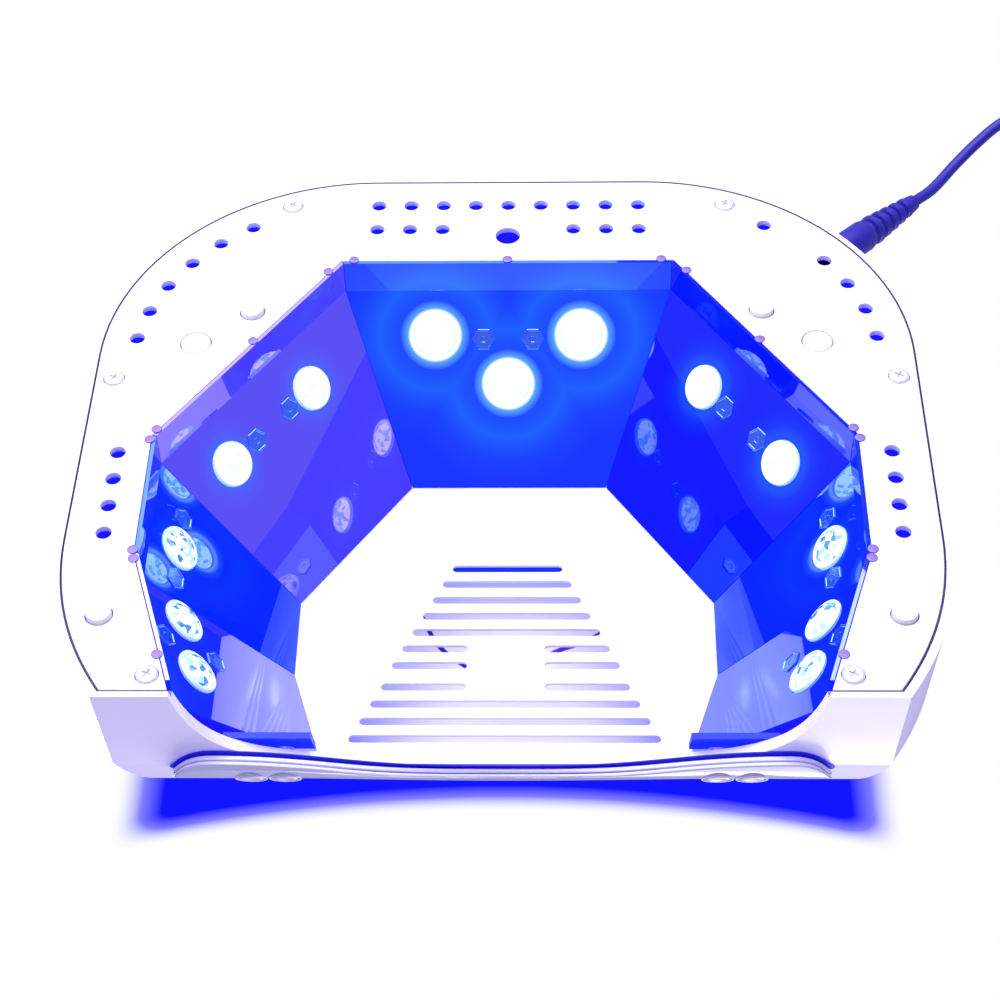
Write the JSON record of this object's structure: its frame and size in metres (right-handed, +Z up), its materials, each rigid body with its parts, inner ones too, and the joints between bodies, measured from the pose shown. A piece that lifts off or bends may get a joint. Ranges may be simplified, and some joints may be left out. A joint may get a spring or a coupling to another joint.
{
  "type": "uv led nail lamp",
  "caption": "White domed nail-curing lamp with an arched hand opening, faceted mirror cavity lined with lens LEDs, slotted ceiling, vented base plate, front button panel and corded adapter",
  "frame": {"origin": "under the middle of the lamp on the table plane, at the bottom centre of its box without the cord and adapter", "axes": "+Z up, -Y out of the hand arch, +X to the right of someone who faces the arch, looking along +Y"},
  "size_m": [0.3585, 0.2455, 0.0875],
  "materials": {
    "case_plastic": "glossy moulded ABS with soft lavender tint",
    "plate_plastic": "satin white sheet",
    "reflector_mirror": "polished mirror sheet",
    "led_lens": "clear faceted moulded lens",
    "led_board": "white solder-mask board",
    "fastener_steel": "nickel-plated steel",
    "foot_silicone": "matte white silicone",
    "magnet_plating": "nickel-plated magnet",
    "panel_plastic": "glossy moulded panel",
    "dark_plastic": "matte black moulding",
    "circuit_board": "green solder mask",
    "cord_rubber": "matte dark flexible PVC",
    "adapter_plastic": "fine-textured moulded plastic",
    "button_plastic": "satin moulded cap"
  },
  "bodies": {
    "lamp": {"case_shell": "case_plastic", "bottom_plate": "plate_plastic", "ceiling_plate": "plate_plastic", "reflector_front_right": "reflector_mirror", "led_board_front_right": "led_board", "led_front_right_back": "led_lens", "led_front_right_front": "led_lens", "reflector_side_right": "reflector_mirror", "led_board_side_right": "led_board", "led_side_right_middle": "led_lens", "reflector_diagonal_right": "reflector_mirror", "led_board_diagonal_right": "led_board", "led_diagonal_right_back": "led_lens", "led_diagonal_right_front": "led_lens", "reflector_rear": "reflector_mirror", "led_board_rear": "led_board", "led_rear_left": "led_lens", "led_rear_right": "led_lens", "led_rear_centre": "led_lens", "reflector_diagonal_left": "reflector_mirror", "led_board_diagonal_left": "led_board", "led_diagonal_left_back": "led_lens", "led_diagonal_left_front": "led_lens", "reflector_side_left": "reflector_mirror", "led_board_side_left": "led_board", "led_side_left_middle": "led_lens", "reflector_front_left": "reflector_mirror", "led_board_front_left": "led_board", "led_front_left_back": "led_lens", "led_front_left_front": "led_lens", "plate_screw_1": "fastener_steel", "plate_screw_2": "fastener_steel", "plate_screw_3": "fastener_steel", "plate_screw_4": "fastener_steel", "plate_screw_5": "fastener_steel", "plate_screw_6": "fastener_steel", "centre_screw": "fastener_steel", "foot_1": "foot_silicone", "foot_2": "foot_silicone", "foot_3": "foot_silicone", "foot_4": "foot_silicone", "base_magnet_1": "magnet_plating", "base_magnet_2": "magnet_plating", "control_panel": "panel_plastic", "button_board_left": "circuit_board", "button_board_right": "circuit_board", "driver_board": "circuit_board", "power_leads": "cord_rubber", "dc_jack": "dark_plastic", "dc_plug": "cord_rubber", "cord_run": "cord_rubber", "cord_coil": "cord_rubber", "cord_tail": "cord_rubber", "adapter_body": "adapter_plastic", "adapter_blades": "fastener_steel"},
    "button_1_cap": {"button_1": "button_plastic"},
    "button_2_cap": {"button_2": "button_plastic"},
    "button_3_cap": {"button_3": "button_plastic"},
    "button_4_cap": {"button_4": "button_plastic"}
  },
  "joints": [
    {"name": "button_1_press", "type": "slide", "parent": "lamp", "child": "button_1_cap", "axis": [0, 0.9063, -0.4226], "range_m": [0, 0.0008], "stiffness_N_per_m": 600},
    {"name": "button_2_press", "type": "slide", "parent": "lamp", "child": "button_2_cap", "axis": [0, 0.9063, -0.4226], "range_m": [0, 0.0008], "stiffness_N_per_m": 600},
    {"name": "button_3_press", "type": "slide", "parent": "lamp", "child": "button_3_cap", "axis": [0, 0.9063, -0.4226], "range_m": [0, 0.0008], "stiffness_N_per_m": 600},
    {"name": "button_4_press", "type": "slide", "parent": "lamp", "child": "button_4_cap", "axis": [0, 0.9063, -0.4226], "range_m": [0, 0.0008], "stiffness_N_per_m": 600}
  ]
}
